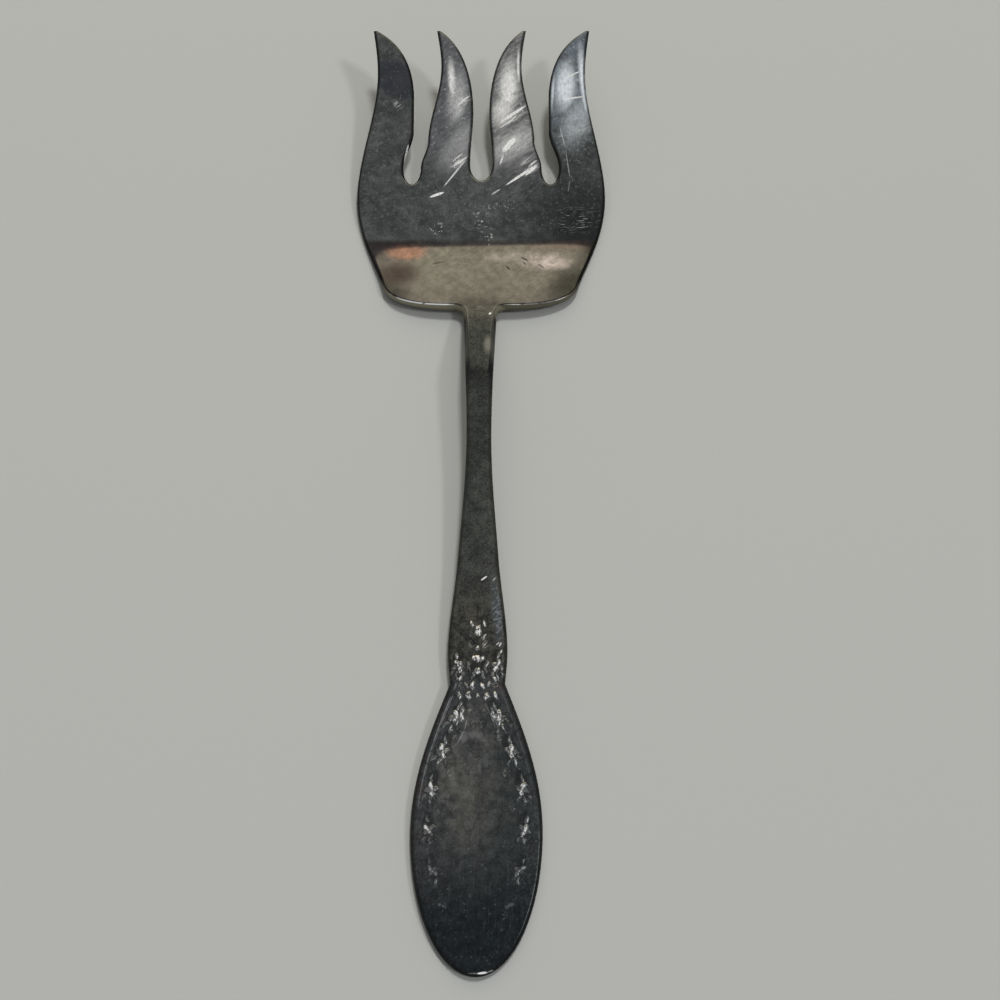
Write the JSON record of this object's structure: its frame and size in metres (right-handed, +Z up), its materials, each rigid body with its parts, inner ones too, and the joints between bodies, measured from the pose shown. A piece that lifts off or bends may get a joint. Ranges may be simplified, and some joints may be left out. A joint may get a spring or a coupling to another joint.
{
  "type": "cold meat fork",
  "caption": "Cold meat serving fork with a broad flat head, flame-shaped tines, an arched slender stem and an oval handle with a traditional flower border.",
  "frame": {"origin": "on the table that the fork lies on, below the middle of its length and width", "axes": "+Y along the fork towards the tips of the tines, +X to the right seen from above with the tines pointing away, +Z up"},
  "size_m": [0.0598, 0.216, 0.0128],
  "materials": {
    "tarnished_silver_plate": "satin"
  },
  "bodies": {
    "root": {"fork_head": "tarnished_silver_plate", "stem": "tarnished_silver_plate", "handle": "tarnished_silver_plate"}
  },
  "joints": []
}
